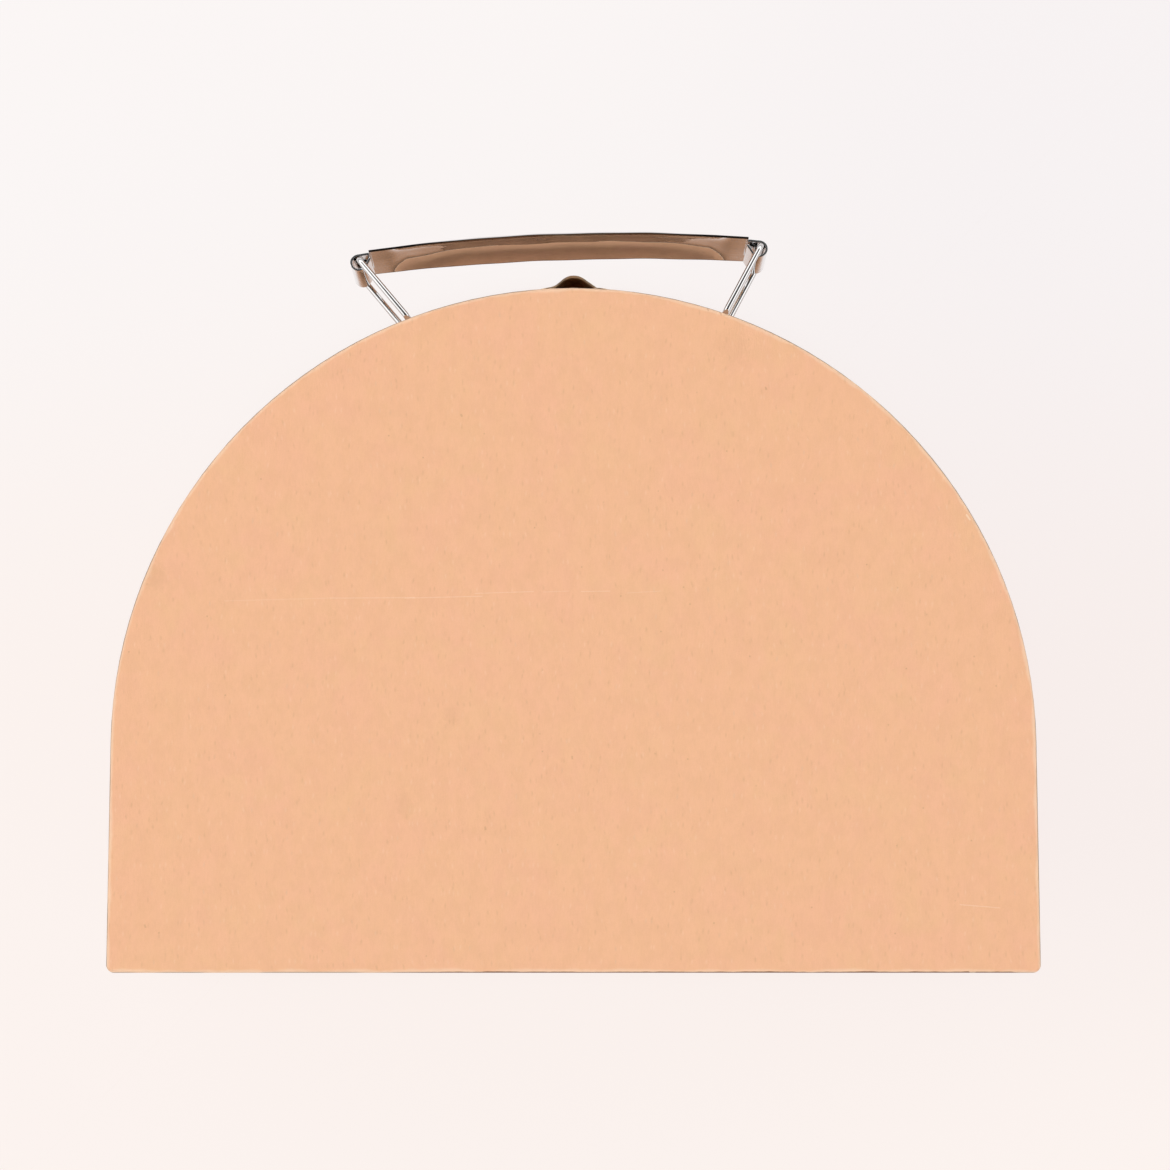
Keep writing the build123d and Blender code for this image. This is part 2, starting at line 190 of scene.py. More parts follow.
class SuitcaseHandle(bpy.types.PropertyGroup):
    """The pressed grip and its two wire rings."""

    bar_spacing: length_setting("Bar spacing", "Distance between the rings' upper bars", 91.8)
    eye_slack: length_setting("Eye slack", "How much nearer the eyes stand than the bars", 0.5)
    ring_length: length_setting("Ring length", "Distance between a ring's two bars", 18.1)
    ring_width: length_setting("Ring width", "Distance between a ring's two legs", 15.8)
    ring_bend: length_setting("Ring bend", "Radius of the wire's corners", 1.3)
    wire: length_setting("Wire", "Diameter of the wire", 1.4)
    sheet: length_setting("Sheet", "Thickness of the pressed steel", 0.5)
    width: length_setting("Grip width", "Width of the grip over its rims", 18)
    eye_width: length_setting("Eye width", "Width of the tongue rolled at each end", 14)
    bulge: length_setting("Bulge", "Depth of the pressed hollow", 2.2)
    squareness: FloatProperty(
        name="Squareness", description="How flat the hollow's bottom is: 2 for round, more for flatter",
        default=3.0, min=2, max=8,
    )
    twist: length_setting("Rim arch", "How much more the grip's near rim arches than its far one", 0.6)
    lean: length_setting("Lean", "How much the hollow's bottom leans towards its lower rim", 0.6)
    rise: length_setting("Rise", "How far the grip arches between its ends", 1.9)
    end_bulge: length_setting("End bulge", "Depth of the hollow where the grip is cut square", 0.1)
    end_gap: length_setting("End gap", "Distance from the grip's square end to its eye", 2.4)
    flat: length_setting("Flat end", "Length of the flat part at each end of the grip", 3.6)
    fade: length_setting("Fade", "Length over which the hollow grows shallow", 20)
    eye_radius: length_setting("Eye radius", "Radius of the rolled eye at the middle of the sheet", 1.75)
    eye_turn: FloatProperty(
        name="Eye turn", description="How far the tongue is rolled",
        default=math.radians(240), subtype="ANGLE", unit="ROTATION",
    )
    eye_tip: length_setting("Eye tip", "Straight end of the rolled tongue", 2.2)
    chrome: colour_setting("Chrome", "Colour of the plated steel", (0.80, 0.80, 0.805))
    wire_tone: colour_setting("Wire tone", "Colour of the plated wire of the rings", (0.63, 0.62, 0.615))
    # Painted shade along the grip's long rims.
    rim_shade: colour_setting("Rim tone", "Colour of the grip's long cut rims", (0.15, 0.125, 0.11))
    rim_edge: length_setting("Rim edge", "Rounding of the grip's cut rims", 0.14)


class SuitcaseFittings(bpy.types.PropertyGroup):
    """Straps, rivets and clasp."""

    edge: length_setting("Edge", "Rounding of the stamped edges", 0.09)
    steel: colour_setting("Steel", "Colour of the plated straps and rivets", (0.74, 0.74, 0.75))
    brass: colour_setting("Brass", "Colour of the clasp where it is bright", (0.72, 0.54, 0.36))
    tarnish: colour_setting("Tarnish", "Colour of the clasp where it is dull", (0.36, 0.17, 0.065))


class SuitcaseStage(bpy.types.PropertyGroup):
    """Floor, light and camera."""

    floor: colour_setting("Floor", "Colour of the surface under the case", (0.972, 0.897, 0.865))
    floor_far: colour_setting(
        "Far floor", "Colour of the same surface beyond the handle", (0.960, 0.922, 0.915)
    )
    # The floor beside the case carries painted shade, for the camera and in reflections.
    shade: colour_setting("Shade", "Colour of the floor right beside the case", (0.62, 0.48, 0.40))
    shade_reach: length_setting("Shade reach", "How far from the case the floor feels it", 18)
    reflected_case: colour_setting(
        "Reflected case", "Colour of the floor by the case, seen in the chrome", (0.46, 0.215, 0.095)
    )
    reflected_gap_shadow: colour_setting(
        "Reflected gap", "Colour of the gap under the case, seen in the chrome", (0.04, 0.02, 0.01)
    )
    # Painted shade on the right of the floor.
    right_shade: colour_setting("Right tint", "What dims the floor on the right", (0.967, 0.965, 0.978))
    floor_glow: FloatProperty(
        name="Floor glow", description="How much of the floor's brightness doesn't depend on shade",
        default=0.93, subtype="FACTOR", min=0, max=1,
    )
    sky: FloatProperty(name="Sky", description="Strength of the soft light all round", default=1.0, min=0)
    softbox_place: FloatVectorProperty(
        name="Softbox place", description="Where the large soft light stands",
        default=(-1.1, 0.5, 1.4), subtype="XYZ", unit="LENGTH",
    )
    softbox_size: FloatVectorProperty(
        name="Softbox size", description="Width and height of the large soft light",
        default=(1.2, 0.9), size=2, subtype="XYZ", unit="LENGTH", min=0,
    )
    softbox_power: FloatProperty(
        name="Softbox power", description="Power of the large soft light", default=3.0, unit="POWER", min=0
    )
    camera_height: FloatProperty(
        name="Camera height", description="Height of the camera over the floor",
        default=0.68, subtype="DISTANCE", unit="LENGTH",
    )
    frame_width: FloatProperty(
        name="Frame width", description="Width that the camera sees at the lid's face",
        default=0.25003, subtype="DISTANCE", unit="LENGTH",
    )
    aim: FloatVectorProperty(
        name="Aim", description="Point that the camera looks straight down at",
        default=(0.00246, 0.0097, 0.08), subtype="XYZ", unit="LENGTH", precision=5,
    )


# Node trees


class Graph:
    """Adds nodes to one tree. A value given to an input is a socket to link or a number to set."""

    def __init__(self, tree):
        self.tree = tree
        self.count = 0

    def add(self, kind, inputs=None, **settings):
        node = self.tree.nodes.new(kind)
        node.location = (200 * (self.count % 12), -240 * (self.count // 12))
        self.count += 1
        for name, value in settings.items():
            setattr(node, name, value)
        for key, value in (inputs or {}).items():
            self.put(node.inputs[key], value)
        return node

    def put(self, socket, value):
        if isinstance(value, bpy.types.NodeSocket):
            self.tree.links.new(value, socket)
        else:
            socket.default_value = value

    def math(self, operation, *values, clamp=False):
        node = self.add("ShaderNodeMath", operation=operation, use_clamp=clamp)
        for socket, value in zip(node.inputs, values):
            self.put(socket, value)
        return node.outputs[0]

    def vector(self, operation, *values, scale=None):
        node = self.add("ShaderNodeVectorMath", operation=operation)
        for socket, value in zip(node.inputs, values):
            self.put(socket, value)
        if scale is not None:
            self.put(node.inputs["Scale"], scale)
        return node.outputs["Value" if operation in ("DOT_PRODUCT", "DISTANCE") else "Vector"]

    def times(self, first, second):
        return self.math("MULTIPLY", first, second)

    def times_plus(self, value, factor, added):
        return self.math("MULTIPLY_ADD", value, factor, added)

    def away(self, value, middle):
        """The distance of a number from a middle one."""
        return self.math("ABSOLUTE", self.math("SUBTRACT", value, middle))

    def separate(self, vector):
        return self.add("ShaderNodeSeparateXYZ", {"Vector": vector}).outputs

    def combine(self, **parts):
        return self.add("ShaderNodeCombineXYZ", parts).outputs[0]

    def mix(self, factor, a, b, blend_type="MIX"):
        node = self.add("ShaderNodeMix", data_type="RGBA", blend_type=blend_type)
        for socket, value in zip((node.inputs[0], node.inputs[6], node.inputs[7]), (factor, a, b)):
            self.put(socket, value)
        return node.outputs[2]

    def darken(self, factor, tone, shade):
        """A colour multiplied by a shade, as far as the factor says."""
        return self.mix(factor, tone, shade, "MULTIPLY")

    def choose(self, factor, a, b):
        """The first number where the factor is 0 and the second where it is 1."""
        node = self.add("ShaderNodeMix", data_type="FLOAT")
        for socket, value in zip((node.inputs[0], node.inputs[2], node.inputs[3]), (factor, a, b)):
            self.put(socket, value)
        return node.outputs[0]

    def step(self, value, low, high, out_low=0.0, out_high=1.0):
        """A smooth step of a value from one limit to the other."""
        node = self.add(
            "ShaderNodeMapRange",
            {"Value": value, "From Min": low, "From Max": high, "To Min": out_low, "To Max": out_high},
            interpolation_type="SMOOTHSTEP",
        )
        return node.outputs[0]

    def noise(self, vector, scale, detail=2.0, roughness=0.5, dimensions="2D"):
        inputs = {"Vector": vector, "Scale": scale, "Detail": detail, "Roughness": roughness}
        return self.add("ShaderNodeTexNoise", inputs, noise_dimensions=dimensions).outputs[0]

    def cells(self, vector, scale=1.0):
        """Scattered points: the distance to the nearest one and three random numbers for it."""
        node = self.add("ShaderNodeTexVoronoi", {"Vector": vector, "Scale": scale}, voronoi_dimensions="2D")
        chance = self.add("ShaderNodeSeparateColor", {"Color": node.outputs["Color"]})
        return node.outputs["Distance"], chance.outputs

    def group(self, name, **inputs):
        node = self.add("ShaderNodeGroup", node_tree=bpy.data.node_groups[name])
        for key, value in inputs.items():
            self.put(node.inputs[key.replace("_", " ")], value)
        return node.outputs


def colour(value):
    return (*value, 1.0)


def new_group(name, inputs, outputs):
    """An empty shader node group with named sockets. Returns its graph, inputs and output node."""
    tree = bpy.data.node_groups.new(name, "ShaderNodeTree")
    kinds = {"vector": "NodeSocketVector", "value": "NodeSocketFloat", "colour": "NodeSocketColor"}
    for direction, sockets in (("INPUT", inputs), ("OUTPUT", outputs)):
        for label, kind in sockets.items():
            tree.interface.new_socket(label, in_out=direction, socket_type=kinds[kind])
    graph = Graph(tree)
    source = graph.add("NodeGroupInput").outputs
    target = graph.add("NodeGroupOutput").inputs
    return graph, source, target


def new_material(name):
    """A material with one Principled shader. Returns it with its graph and shader."""
    material = bpy.data.materials.new(name)
    if material.name != name:
        raise RuntimeError(f"the material name {name} is taken")
    material.use_nodes = True
    tree = material.node_tree
    tree.nodes.clear()
    graph = Graph(tree)
    shader = graph.add("ShaderNodeBsdfPrincipled")
    out = graph.add("ShaderNodeOutputMaterial")
    tree.links.new(shader.outputs[0], out.inputs["Surface"])
    return material, graph, shader


def bump(graph, shader, height, distance, strength=1.0):
    node = graph.add("ShaderNodeBump", {"Height": height, "Distance": distance, "Strength": strength})
    graph.put(shader.inputs["Normal"], node.outputs[0])


def mark_group():
    """A soft-edged stroke between two points of the face, in millimetres."""
    graph, source, target = new_group(
        "mark",
        {"Place": "vector", "Ragged": "value", "Start": "vector", "End": "vector", "Half Width": "value"},
        {"Mask": "value"},
    )
    flat = graph.vector("MULTIPLY", source["Place"], (1, 1, 0))
    run = graph.vector("SUBTRACT", source["End"], source["Start"])
    offset = graph.vector("SUBTRACT", flat, source["Start"])
    share = graph.math(
        "DIVIDE", graph.vector("DOT_PRODUCT", offset, run), graph.vector("DOT_PRODUCT", run, run), clamp=True
    )
    nearest = graph.vector("SCALE", run, scale=share)
    distance = graph.vector("DISTANCE", offset, nearest)
    width = graph.times(source["Half Width"], source["Ragged"])
    inner = graph.times(width, 0.3)
    graph.put(target["Mask"], graph.step(distance, inner, graph.times(width, 1.5), 1.0, 0.0))


def outline_group():
    """How far inside the D outline a point is, in millimetres, and how far up from the foot."""
    graph, source, target = new_group(
        "outline_distance", {"Place": "vector"}, {"Edge": "value", "Foot": "value", "Round": "value"}
    )
    foot_half = ((FACE_HIGH.x - FACE_LOW.x) / 2 + CORNER_LOSS) / MM
    height = (FACE_HIGH.y - FACE_LOW.y) / MM
    radius = (foot_half * math.cos(FLARE) - height * math.sin(FLARE)) / (1 - math.sin(FLARE))
    centre_y = FACE_HIGH.y / MM - radius
    split = graph.separate(source["Place"])
    x = graph.math("ABSOLUTE", split["X"])
    y = graph.math("SUBTRACT", split["Y"], centre_y)
    from_centre = graph.math("SQRT", graph.times_plus(x, x, graph.times(y, y)))
    from_middle = graph.times_plus(x, math.cos(FLARE), graph.times(y, math.sin(FLARE)))
    on_arch = graph.math("GREATER_THAN", y, graph.times(x, math.tan(FLARE)))
    edge = graph.math("SUBTRACT", radius, graph.choose(on_arch, from_middle, from_centre))
    foot = graph.math("SUBTRACT", split["Y"], FACE_LOW.y / MM)
    graph.put(target["Edge"], graph.math("MINIMUM", edge, foot))
    graph.put(target["Foot"], foot)
    turn = graph.math("ARCTAN2", split["X"], y)
    graph.put(target["Round"], graph.times(turn, radius))


def kraft_group():
    """Kraft paper with soft blotches, short fibres along Y and dark specks. Place is in millimetres."""
    graph, source, target = new_group(
        "kraft_paper",
        {
            "Place": "vector", "Paper": "colour", "Pink": "colour", "Yellow": "colour",
            "Fibre": "colour", "Strength": "value",
        },
        {"Color": "colour", "Roughness": "value", "Height": "value"},
    )
    place = source["Place"]
    pink = graph.step(graph.noise(place, 0.055, 3.0, 0.6), 0.40, 0.72)
    shifted = graph.vector("ADD", place, (310.0, 120.0, 0.0))
    yellow = graph.step(graph.noise(shifted, 0.075, 3.0, 0.62), 0.46, 0.80)
    tone = graph.mix(pink, source["Paper"], source["Pink"])
    tone = graph.mix(yellow, tone, source["Yellow"])
    mottle = graph.noise(graph.vector("MULTIPLY", place, (1.0, 0.75, 1.0)), 0.30, 4.0, 0.66)
    tone = graph.darken(graph.step(mottle, 0.36, 0.66, 0.0, 0.62), tone, (0.955, 0.95, 0.945, 1))
    patch = graph.noise(graph.vector("MULTIPLY", shifted, (0.42, 0.16, 1.0)), 1.0, 2.0, 0.6)
    tone = graph.darken(graph.step(patch, 0.35, 0.65, 0.0, 0.4), tone, (0.99, 0.995, 0.955, 1))

    sway = graph.times_plus(graph.noise(place, 0.14, 1.0), 1.6, -0.8)
    leaning = graph.vector("ADD", place, graph.combine(X=sway))
    near, picks = graph.cells(graph.vector("MULTIPLY", leaning, (0.9, 0.34, 1)))
    short = graph.step(near, 0.0, 0.306, 1.0, 0.0)
    moved = graph.vector("MULTIPLY_ADD", leaning, (0.55, 0.2, 1), (57.0, 57.0, 0.0))
    long_near, long_picks = graph.cells(moved)
    long = graph.times(graph.step(long_near, 0.0, 0.187, 1.0, 0.0), graph.step(long_picks[0], 0.60, 1.0))
    dark = graph.math(
        "MAXIMUM", graph.times(short, graph.step(picks[0], 0.80, 1.0)), graph.times(long, 0.9)
    )
    dark = graph.times(dark, graph.times(source["Strength"], 0.23))
    light = graph.times(short, graph.step(picks[1], 0.7, 1.0, 0.0, 0.13))
    combed = graph.noise(graph.vector("MULTIPLY", leaning, (3.4, 0.55, 1.0)), 1.0, 3.0, 0.62)
    comb = graph.step(combed, 0.40, 0.64)
    tone = graph.darken(graph.times(comb, 0.28), tone, (0.95, 0.945, 0.94, 1))
    tone = graph.mix(dark, tone, source["Fibre"])
    tone = graph.mix(light, tone, (1.0, 0.78, 0.58, 1))

    distance, picks = graph.cells(place, 0.085)
    speck = graph.step(distance, 0.006, 0.022, 1.0, 0.0)
    speck = graph.times(speck, graph.step(picks[2], 0.45, 0.95, 0.0, 0.5))
    tone = graph.mix(speck, tone, source["Fibre"])
    grain = graph.noise(place, 3.0, 2.0, 0.6)
    tone = graph.darken(graph.step(grain, 0.3, 0.7, 0.0, 0.4), tone, (0.96, 0.955, 0.95, 1))
    graph.put(target["Color"], tone)
    rough = graph.times_plus(grain, 0.12, 0.70)
    graph.put(target["Roughness"], graph.times_plus(comb, 0.06, rough))
    height = graph.times_plus(grain, 0.5, graph.times(comb, 0.35))
    graph.put(target["Height"], graph.math("SUBTRACT", height, graph.times(dark, 0.8)))


def millimetres(graph):
    """The point of the object in millimetres."""
    place = graph.add("ShaderNodeTexCoord").outputs["Object"]
    return graph.vector("SCALE", place, scale=1 / MM)


def paper_place(graph, place, outline):
    """Where a point lies on its sheet of paper: X and Y on a panel, height and run on a wall."""
    split = graph.separate(place)
    normal = graph.add("ShaderNodeTexCoord").outputs["Normal"]
    tilt = graph.math("ABSOLUTE", graph.separate(normal)["Z"])
    flat = graph.math("GREATER_THAN", tilt, 0.7)
    on_foot = graph.math("LESS_THAN", outline["Foot"], BOARD / MM + 0.05)
    along = graph.choose(on_foot, outline["Round"], split["X"])
    height = graph.choose(flat, split["Z"], split["X"])
    run = graph.choose(flat, along, split["Y"])
    return graph.combine(X=height, Y=run)


def kraft_finish(graph, shader, place, sizes, strength=1.0):
    paper = graph.group(
        "kraft_paper", Place=place, Paper=colour(sizes.paper), Pink=colour(sizes.paper_pink),
        Yellow=colour(sizes.paper_yellow), Fibre=colour(sizes.fibre), Strength=strength,
    )
    graph.put(shader.inputs["Roughness"], paper["Roughness"])
    shader.inputs["Specular IOR Level"].default_value = 0.25
    return paper


def face_material(sizes):
    """Kraft paper on the two flat D panels, with a painted highlight round the edge and a dark line along
    the foot.
    """
    material, graph, shader = new_material("kraft_face")
    place = millimetres(graph)
    outline = graph.group("outline_distance", Place=place)
    paper = kraft_finish(graph, shader, paper_place(graph, place, outline), sizes)
    tone = paper["Color"]
    edge = outline["Edge"]
    split = graph.separate(place)
    top = FACE_HIGH.z / MM
    front = graph.math("GREATER_THAN", split["Z"], SEAM / MM)
    # Painted highlight: the paper grows lighter towards the rounded edge, where the edge would catch the
    # light.
    waver = graph.noise(place, 0.12, 3.0, 0.6)
    reach = graph.times_plus(waver, 1.3, 0.05)
    worn_and_highlight = graph.step(edge, graph.times(reach, 0.35), graph.times(reach, 1.5), 0.42, 0.0)
    tone = graph.mix(worn_and_highlight, tone, colour(sizes.worn_and_highlight))
    height = paper["Height"]
    ragged = graph.times_plus(graph.noise(place, 1.3, 3.0), 1.6, 0.2)
    for marks, light in ((LIGHT_MARKS, True), (DARK_MARKS, False), (STAINS, False)):
        for start, end, half_width, strength in marks:
            mask = graph.group(
                "mark", Place=place, Ragged=ragged, Start=(*start, 0), End=(*end, 0), Half_Width=half_width
            )["Mask"]
            mask = graph.times(mask, graph.times(front, strength))
            tone = graph.mix(mask, tone, colour(sizes.worn_and_highlight if light else sizes.fibre))
            if light:
                height = graph.math("SUBTRACT", height, mask)

    # Painted shade where the rounded edge turns away: a thin grey line that comes and goes. A darker line
    # runs along the foot.
    run = graph.noise(place, 0.05, 2.0, 0.7)
    line = graph.step(edge, 0.05, graph.times_plus(run, 0.45, 0.05), 0.9, 0.0)
    line = graph.times(line, graph.step(run, 0.34, 0.50, 0.25, 1.0))
    deep = graph.math("MINIMUM", split["Z"], graph.math("SUBTRACT", top, split["Z"]))
    line = graph.times(line, graph.step(deep, 0.45, 0.85, 1.0, 0.0))
    tone = graph.mix(line, tone, colour(sizes.edge_shade))
    begin, whole, last, end, gap = DARK_FOOT_LINE
    stretch = graph.times(
        graph.step(split["X"], begin, whole), graph.step(split["X"], last, end, 1.0, 0.0)
    )
    stretch = graph.times(stretch, graph.step(graph.away(split["X"], gap), 0.3, 0.9))
    foot_line_run = graph.noise(graph.vector("MULTIPLY", place, (1.0, 0.0, 0.0)), 0.085, 3.0, 0.72)
    depth = graph.times(stretch, graph.times_plus(foot_line_run, 1.0, -0.12))
    dark_foot_line = graph.step(outline["Foot"], graph.times(depth, 0.55), depth, 0.95, 0.0)
    dark_foot_line = graph.times(dark_foot_line, graph.times(front, graph.step(depth, 0.02, 0.10)))
    dark_foot_line = graph.times(dark_foot_line, graph.step(split["Z"], top - 1.1, top - 0.7))
    tone = graph.mix(dark_foot_line, tone, colour(sizes.dark_foot_line))
    graph.put(shader.inputs["Base Color"], tone)
    bump(graph, shader, height, 0.035 * MM)
    return material


def wall_material(sizes):
    """Kraft paper on the strips round the case. Its fibres run along the wall, and its rims are rubbed."""
    material, graph, shader = new_material("kraft_wall")
    place = millimetres(graph)
    outline = graph.group("outline_distance", Place=place)
    spread = paper_place(graph, place, outline)
    paper = kraft_finish(graph, shader, spread, sizes)
    level = graph.separate(place)["Z"]
    waver = graph.noise(spread, 0.3, 3.0, 0.6)
    seam = graph.away(level, SEAM / MM)
    reach = graph.times_plus(waver, 1.0, 0.15)
    worn_and_highlight = graph.step(seam, graph.times(reach, 0.5), graph.times(reach, 1.4), 0.5, 0.0)
    tone = graph.mix(worn_and_highlight, paper["Color"], colour(sizes.worn_and_highlight))
    graph.put(shader.inputs["Base Color"], tone)
    bump(graph, shader, paper["Height"], 0.035 * MM)
    return material


def card_material(sizes):
    """Bare card of the lining: duller than the paper, with long fibres."""
    material, graph, shader = new_material("bare_card")
    place = millimetres(graph)
    outline = graph.group("outline_distance", Place=place)
    paper = graph.group(
        "kraft_paper", Place=paper_place(graph, place, outline), Paper=colour(sizes.card),
        Pink=colour(sizes.card), Yellow=colour(sizes.card), Fibre=colour(sizes.fibre), Strength=1.3,
    )
    graph.put(shader.inputs["Roughness"], paper["Roughness"])
    shader.inputs["Specular IOR Level"].default_value = 0.2
    level = graph.separate(place)["Z"]
    rim = graph.step(level, LINING_TOP / MM - 1.0, LINING_TOP / MM, 0.0, 0.5)
    graph.put(shader.inputs["Base Color"], graph.mix(rim, paper["Color"], colour(sizes.worn_and_highlight)))
    bump(graph, shader, paper["Height"], 0.04 * MM)
    return material


def paper_material(sizes):
    """The hinge strip: the same paper, creased and rubbed along the seam."""
    material, graph, shader = new_material("folded_paper")
    place = millimetres(graph)
    split = graph.separate(place)
    spread = graph.combine(X=split["Z"], Y=split["X"], Z=split["Y"])
    paper = kraft_finish(graph, shader, spread, sizes, 0.9)
    crease = graph.away(split["Z"], SEAM / MM)
    waver = graph.noise(spread, 0.5, 3.0, 0.6)
    rubbed = graph.step(crease, 0.1, graph.times_plus(waver, 2.2, 0.5), 0.65, 0.0)
    tone = graph.mix(rubbed, paper["Color"], colour(sizes.worn_and_highlight))
    graph.put(shader.inputs["Base Color"], tone)
    fold = graph.step(crease, 0.15, 0.7, 0.0, 1.0)
    height = graph.math("ADD", graph.times(paper["Height"], 0.5), graph.times(fold, 1.2))
    bump(graph, shader, height, 0.07 * MM)
    return material


def metal_wear_group():
    """Fine rubbing marks and finger dulling of plated metal. Place is in millimetres."""
    graph, source, target = new_group(
        "metal_wear", {"Place": "vector", "Base": "value", "Dulling": "value"},
        {"Roughness": "value", "Height": "value", "Dull": "value"},
    )
    place = source["Place"]
    cloud = graph.step(graph.noise(place, 0.16, 4.0, 0.65, "3D"), 0.42, 0.72)
    lines = graph.noise(graph.vector("MULTIPLY", place, (0.25, 6.0, 6.0)), 1.0, 3.0, 0.7, "3D")
    fine = graph.step(lines, 0.56, 0.74)
    rough = graph.times_plus(cloud, source["Dulling"], source["Base"])
    graph.put(target["Roughness"], graph.times_plus(fine, 0.05, rough))
    ripple = graph.noise(graph.vector("MULTIPLY", place, (0.06, 0.8, 0.8)), 1.0, 1.0, 0.5, "3D")
    height = graph.times_plus(fine, -0.1, graph.times(ripple, 4.0))
    graph.put(target["Height"], height)
    graph.put(target["Dull"], cloud)


def chrome_material(name, tint, base_roughness, dulling, rims=None):
    """Bright plated steel, a little dull from fingers. The grip's sizes give its rims a painted shade."""
    material, graph, shader = new_material(name)
    place = millimetres(graph)
    wear = graph.group("metal_wear", Place=place, Base=base_roughness, Dulling=dulling)
    shader.inputs["Metallic"].default_value = 1.0
    dulled = tuple(channel * 0.9 for channel in tint)
    tone = graph.mix(wear["Dull"], colour(tint), colour(dulled))
    if rims:
        # Painted shade: the grip's long rims are darkened as if the sheet's edge lay in shadow.
        axis = JOINTS["grip_swing"]["axis"]
        middle = Vector(axis).dot(JOINTS["grip_swing"]["pos_m"]) / MM
        across = graph.away(graph.vector("DOT_PRODUCT", place, axis), middle)
        edge = rims.width / 2 / MM
        tone = graph.mix(graph.step(across, edge - 0.34, edge - 0.2), tone, colour(rims.rim_shade))
    graph.put(shader.inputs["Base Color"], tone)
    graph.put(shader.inputs["Roughness"], wear["Roughness"])
    bump(graph, shader, wear["Height"], 0.004 * MM, 0.6)
    return material


def brass_material(sizes):
    """Thin brass plating, bright on what is rubbed and tarnished brown elsewhere."""
    material, graph, shader = new_material("tarnished_brass")
    place = millimetres(graph)
    wear = graph.group("metal_wear", Place=place, Base=0.34, Dulling=0.16)
    spots = graph.step(graph.noise(place, 0.7, 5.0, 0.7, "3D"), 0.46, 0.7)
    tarnish = graph.math("MAXIMUM", graph.times(wear["Dull"], 0.55), graph.times(spots, 0.7))
    shader.inputs["Metallic"].default_value = 1.0
    graph.put(shader.inputs["Base Color"], graph.mix(tarnish, colour(sizes.brass), colour(sizes.tarnish)))
    graph.put(shader.inputs["Roughness"], wear["Roughness"])
    bump(graph, shader, wear["Height"], 0.006 * MM, 0.7)
    return material


# Meshes


def make_piece(bm, name, body, material, replaces):
    """Turns a bmesh into a piece that rides on a body and stands for nodes of the CAD."""
    mesh = bpy.data.meshes.new(name)
    bm.to_mesh(mesh)
    bm.free()
    if "custom_normal" in mesh.attributes:
        mesh.attributes.remove(mesh.attributes["custom_normal"])
    mesh.materials.clear()
    mesh.materials.append(material)
    mesh.shade_smooth()
    mesh.set_sharp_from_angle(angle=SMOOTH_ANGLE)
    piece = bpy.data.objects.new(name, mesh)
    bpy.context.scene.collection.objects.link(piece)
    if body is not None:
        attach(piece, body)
    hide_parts(*replaces)
    return piece


def softened(node, name, material, width, bend=None):
    """A copy of a CAD node with its sharp edges rounded. A bend moves its points outwards."""
    source = frame["nodes"][node]
    bm = bmesh.new()
    bm.from_mesh(source.data)
    bmesh.ops.remove_doubles(bm, verts=bm.verts, dist=0.0005 * MM)
    bmesh.ops.dissolve_limit(
        bm, angle_limit=FLAT_ANGLE, verts=bm.verts, edges=bm.edges, use_dissolve_boundaries=False
    )
    sharp = [
        edge for edge in bm.edges if len(edge.link_faces) == 2 and edge.calc_face_angle() > SHARP_ANGLE
    ]
    bmesh.ops.bevel(
        bm, geom=sharp, offset=width, offset_type="OFFSET", segments=2, profile=0.5,
        affect="EDGES", clamp_overlap=True, material=-1,
    )
    for face in bm.faces:
        face.material_index = 0
    if bend:
        for vert in bm.verts:
            vert.co.y += bend(vert.co)
    return make_piece(bm, name, source["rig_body"], material, [node])


def hasp_bend(point):
    """How far a point of the hasp stands out beyond a plain bell, more towards the leaf's free end."""
    pin = JOINTS["clasp_hinge"]["pos_m"][2]
    height = (point.z - pin) / (HASP_TOP - pin)
    share = smooth(height, BEAD_START, BEAD_WHOLE)
    place = abs(point.x) / MM
    offset = 0.0
    for (low, from_offset), (high, to_offset) in zip(HASP_BELL, HASP_BELL[1:]):
        if low <= place <= high:
            offset = from_offset + (to_offset - from_offset) * (place - low) / (high - low)
    return (offset + FREE_END_LIFT * height) * share * MM


def frame_matrix(origin, x_dir, z_dir):
    """A frame from its origin and the directions of its X and Z."""
    x = Vector(x_dir).normalized()
    z = Vector(z_dir).normalized()
    matrix = Matrix((x, z.cross(x), z)).transposed().to_4x4()
    matrix.translation = origin
    return matrix


def handle_pivots(sizes):
    """The handle's four pivots at rest, and the direction of their axes."""
    axis = Vector(JOINTS["ring_left_swing"]["axis"])
    left = Vector(JOINTS["ring_left_swing"]["pos_m"])
    right = Vector(JOINTS["ring_right_swing"]["pos_m"])
    bar_left = Vector(JOINTS["grip_swing"]["pos_m"])
    span = right - bar_left
    span -= axis * span.dot(axis)
    distance = span.length
    along = (distance**2 + sizes.bar_spacing**2 - sizes.ring_length**2) / (2 * distance)
    aside = math.sqrt(sizes.bar_spacing**2 - along**2)
    direction = span / distance
    bar_right = bar_left + direction * along + axis.cross(direction) * aside
    return axis, left, right, bar_left, bar_right


